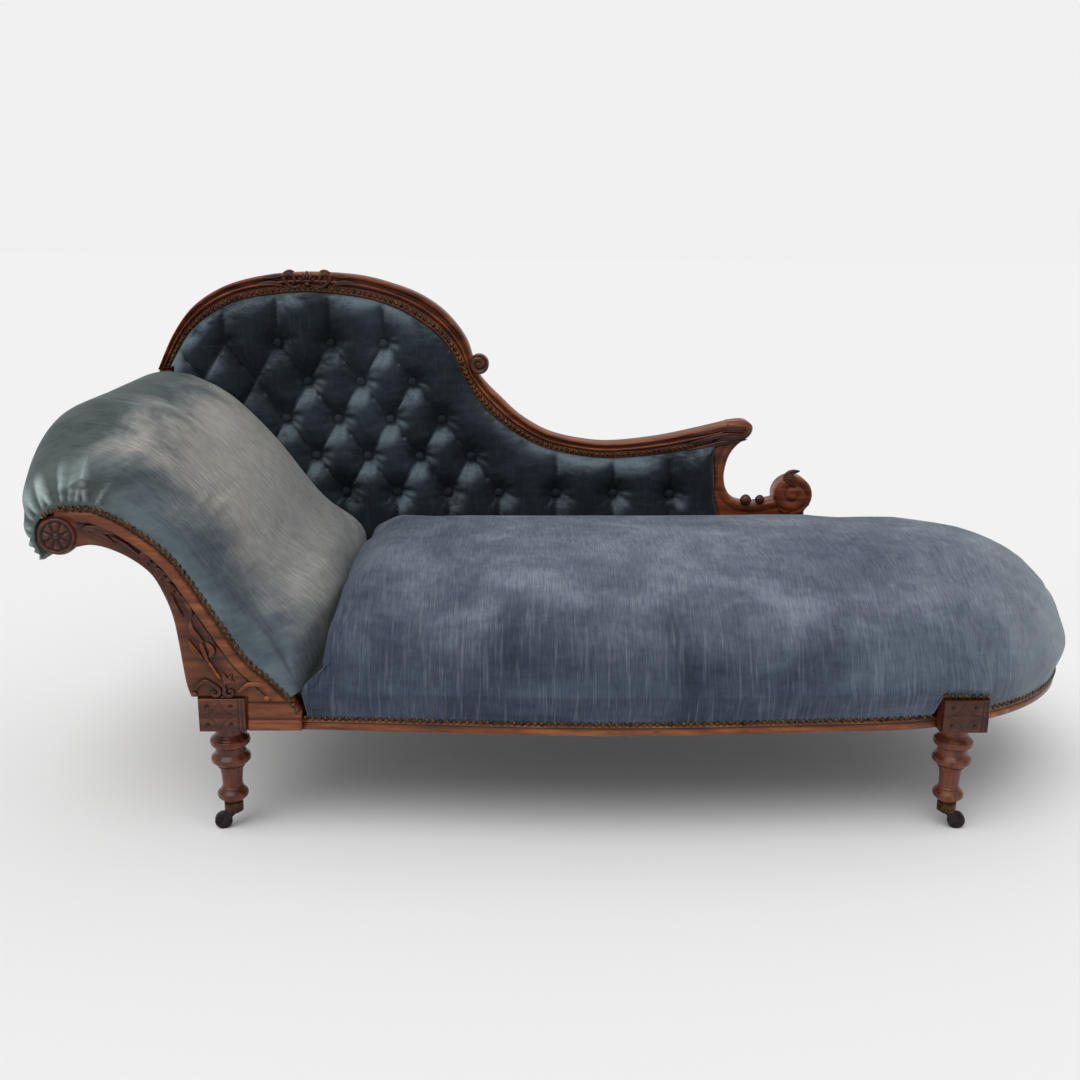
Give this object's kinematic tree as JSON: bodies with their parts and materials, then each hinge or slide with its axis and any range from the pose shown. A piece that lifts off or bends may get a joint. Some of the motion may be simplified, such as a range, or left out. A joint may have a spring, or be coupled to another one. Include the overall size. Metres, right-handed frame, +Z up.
{
  "type": "fainting couch",
  "caption": "Victorian chaise longue with a scrolled padded head, a shaped buttoned half back, a long rounded seat, and turned legs on castors.",
  "frame": {"origin": "centre of the bounding box's footprint, on the floor", "axes": "+X towards the rounded foot of the seat, +Y towards the back, +Z up"},
  "size_m": [1.852, 0.7649, 0.897],
  "materials": {
    "turned_wood": "polished",
    "show_wood": "polished",
    "carved_wood": "polished",
    "frame_wood": "sawn",
    "hessian": "matte",
    "spring_steel": "satin",
    "velvet": "pile",
    "lining": "matte",
    "nail_brass": "antique",
    "cup_brass": "antique",
    "castor_iron": "satin"
  },
  "bodies": {
    "couch": {"leg_front_head": "turned_wood", "leg_front_foot": "turned_wood", "leg_back_head": "turned_wood", "leg_back_foot": "turned_wood", "castor_cup_front_head": "cup_brass", "castor_cup_front_foot": "cup_brass", "castor_cup_back_head": "cup_brass", "castor_cup_back_foot": "cup_brass", "front_seat_rail": "show_wood", "back_seat_rail": "frame_wood", "head_seat_rail": "frame_wood", "foot_seat_rail": "show_wood", "head_cross_rail": "frame_wood", "corner_braces": "frame_wood", "front_scroll_facing": "show_wood", "rear_scroll_frame": "frame_wood", "head_roll_rail": "frame_wood", "head_slats": "frame_wood", "back_head_upright": "show_wood", "back_crest_rail": "show_wood", "shoulder_volute": "carved_wood", "back_arm_rail": "show_wood", "back_end_stump": "show_wood", "back_bottom_rail": "frame_wood", "facing_eye": "carved_wood", "facing_husks": "carved_wood", "knee_scrolls": "carved_wood", "tablet_head": "show_wood", "tablet_foot": "show_wood", "crest_carving": "carved_wood", "arm_end_leaf": "carved_wood", "end_scroll_leaves": "carved_wood", "seat_webbing": "hessian", "seat_springs": "spring_steel", "seat_canvas": "hessian", "seat_cushion": "velvet", "head_canvas": "hessian", "headrest_cushion": "velvet", "outside_head_cover": "velvet", "back_canvas": "hessian", "back_pad": "velvet", "back_buttons": "velvet", "outside_back_cover": "velvet", "bottom_cloth": "lining", "seat_nails": "nail_brass", "facing_nails": "nail_brass", "back_nails": "nail_brass"},
    "castor_fork_front_head": {"castor_fork_front_head": "castor_iron"},
    "castor_wheel_front_head": {"castor_wheel_front_head": "castor_iron"},
    "castor_fork_front_foot": {"castor_fork_front_foot": "castor_iron"},
    "castor_wheel_front_foot": {"castor_wheel_front_foot": "castor_iron"},
    "castor_fork_back_head": {"castor_fork_back_head": "castor_iron"},
    "castor_wheel_back_head": {"castor_wheel_back_head": "castor_iron"},
    "castor_fork_back_foot": {"castor_fork_back_foot": "castor_iron"},
    "castor_wheel_back_foot": {"castor_wheel_back_foot": "castor_iron"}
  },
  "joints": [
    {"name": "castor_swivel_front_head", "type": "hinge", "parent": "couch", "child": "castor_fork_front_head", "pos_m": [-0.588, -0.3095, 0.03], "axis": [0, 0, 1], "continuous": true},
    {"name": "castor_roll_front_head", "type": "hinge", "parent": "castor_fork_front_head", "child": "castor_wheel_front_head", "pos_m": [-0.60561, -0.31324, 0.0145], "axis": [0.2079, -0.9781, 0], "continuous": true},
    {"name": "castor_swivel_front_foot", "type": "hinge", "parent": "couch", "child": "castor_fork_front_foot", "pos_m": [0.632, -0.3095, 0.03], "axis": [0, 0, 1], "continuous": true},
    {"name": "castor_roll_front_foot", "type": "hinge", "parent": "castor_fork_front_foot", "child": "castor_wheel_front_foot", "pos_m": [0.64961, -0.31324, 0.0145], "axis": [0.2079, 0.9781, 0], "continuous": true},
    {"name": "castor_swivel_back_head", "type": "hinge", "parent": "couch", "child": "castor_fork_back_head", "pos_m": [-0.588, 0.3375, 0.03], "axis": [0, 0, 1], "continuous": true},
    {"name": "castor_roll_back_head", "type": "hinge", "parent": "castor_fork_back_head", "child": "castor_wheel_back_head", "pos_m": [-0.60539, 0.34216, 0.0145], "axis": [-0.2588, -0.9659, 0], "continuous": true},
    {"name": "castor_swivel_back_foot", "type": "hinge", "parent": "couch", "child": "castor_fork_back_foot", "pos_m": [0.632, 0.3375, 0.03], "axis": [0, 0, 1], "continuous": true},
    {"name": "castor_roll_back_foot", "type": "hinge", "parent": "castor_fork_back_foot", "child": "castor_wheel_back_foot", "pos_m": [0.64891, 0.34366, 0.0145], "axis": [-0.342, 0.9397, 0], "continuous": true}
  ]
}
